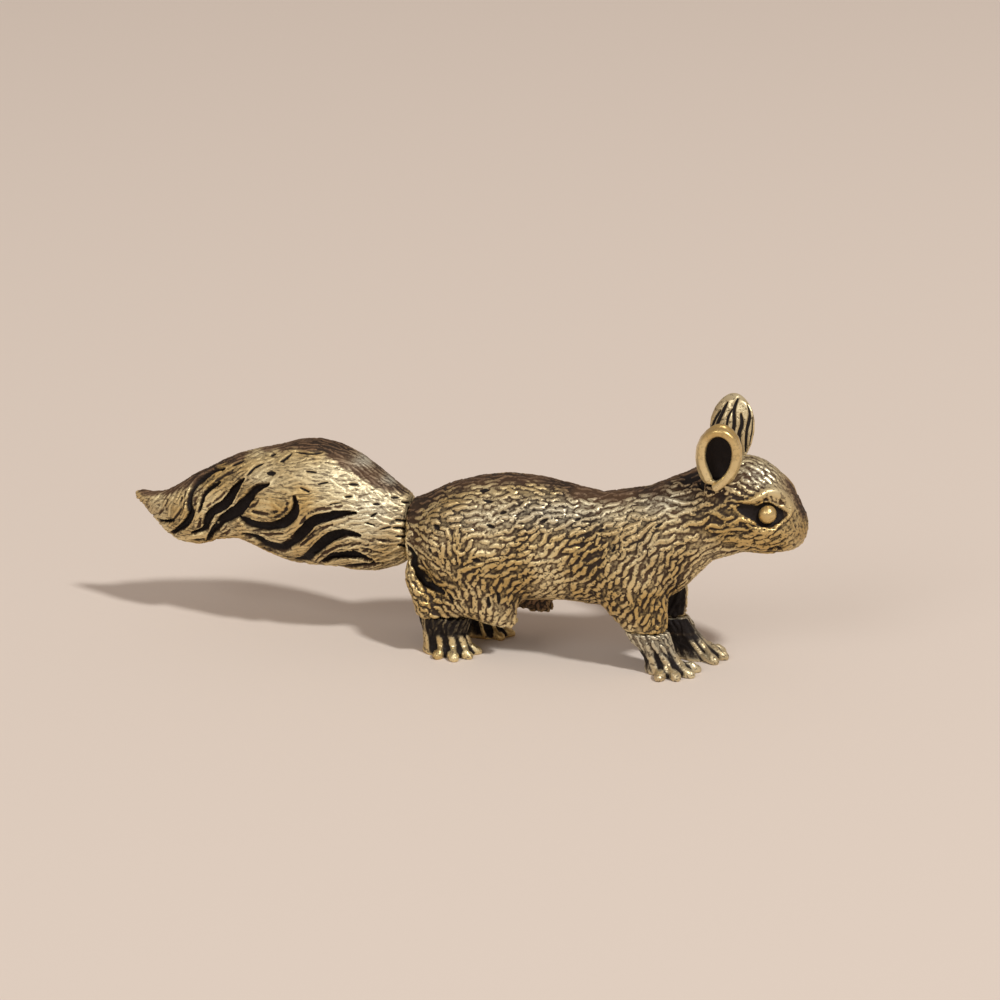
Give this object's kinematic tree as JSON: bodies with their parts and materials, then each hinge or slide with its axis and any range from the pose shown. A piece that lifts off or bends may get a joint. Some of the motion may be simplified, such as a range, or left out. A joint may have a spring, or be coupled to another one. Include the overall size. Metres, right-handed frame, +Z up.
{
  "type": "squirrel figurine",
  "caption": "Small solid brass squirrel ornament, creeping on four paws with its bushy tail stretched out behind, darkened in the hollows.",
  "frame": {"origin": "middle of the footprint's bounding box, on the surface that the soles stand on", "axes": "+X towards the nose, +Y to the animal's left, +Z up"},
  "size_m": [0.0702, 0.0127, 0.0268],
  "materials": {
    "aged_brass": "cast brass, darkened all over and rubbed back bright on the raised fur",
    "rubbed_brass": "smooth brass, rubbed bright",
    "plain_brass": "turned brass, unseen inside the joint"
  },
  "bodies": {
    "root": {"body_casting": "aged_brass", "tail_casting": "aged_brass", "tail_dowel": "plain_brass", "ear_left": "aged_brass", "ear_right": "aged_brass", "eye_left": "rubbed_brass", "eye_right": "rubbed_brass", "fore_foot_left": "aged_brass", "fore_foot_right": "aged_brass", "hind_foot_left": "aged_brass", "hind_foot_right": "aged_brass"}
  },
  "joints": []
}
